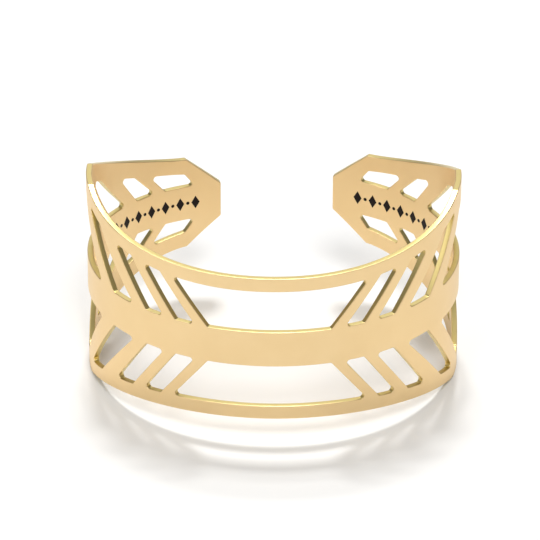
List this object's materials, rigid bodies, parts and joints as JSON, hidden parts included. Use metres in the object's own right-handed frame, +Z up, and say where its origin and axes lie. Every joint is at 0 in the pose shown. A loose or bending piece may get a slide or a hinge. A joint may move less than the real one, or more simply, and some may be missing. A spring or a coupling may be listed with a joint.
{
  "type": "cuff bracelet",
  "caption": "Open oval cuff bracelet of satin brass sheet, pierced with windows and slanted slots in a chevron pattern, with cut corners at its ends.",
  "frame": {"origin": "on the plane that the cuff stands on, under the middle of its bounding box", "axes": "+Z up along the wrist's axis, -Y towards the closed front, +Y towards the opening, +X to the right"},
  "size_m": [0.062, 0.05, 0.0362],
  "materials": {
    "metal": "satin"
  },
  "bodies": {
    "root": {"cuff": "metal"}
  },
  "joints": []
}
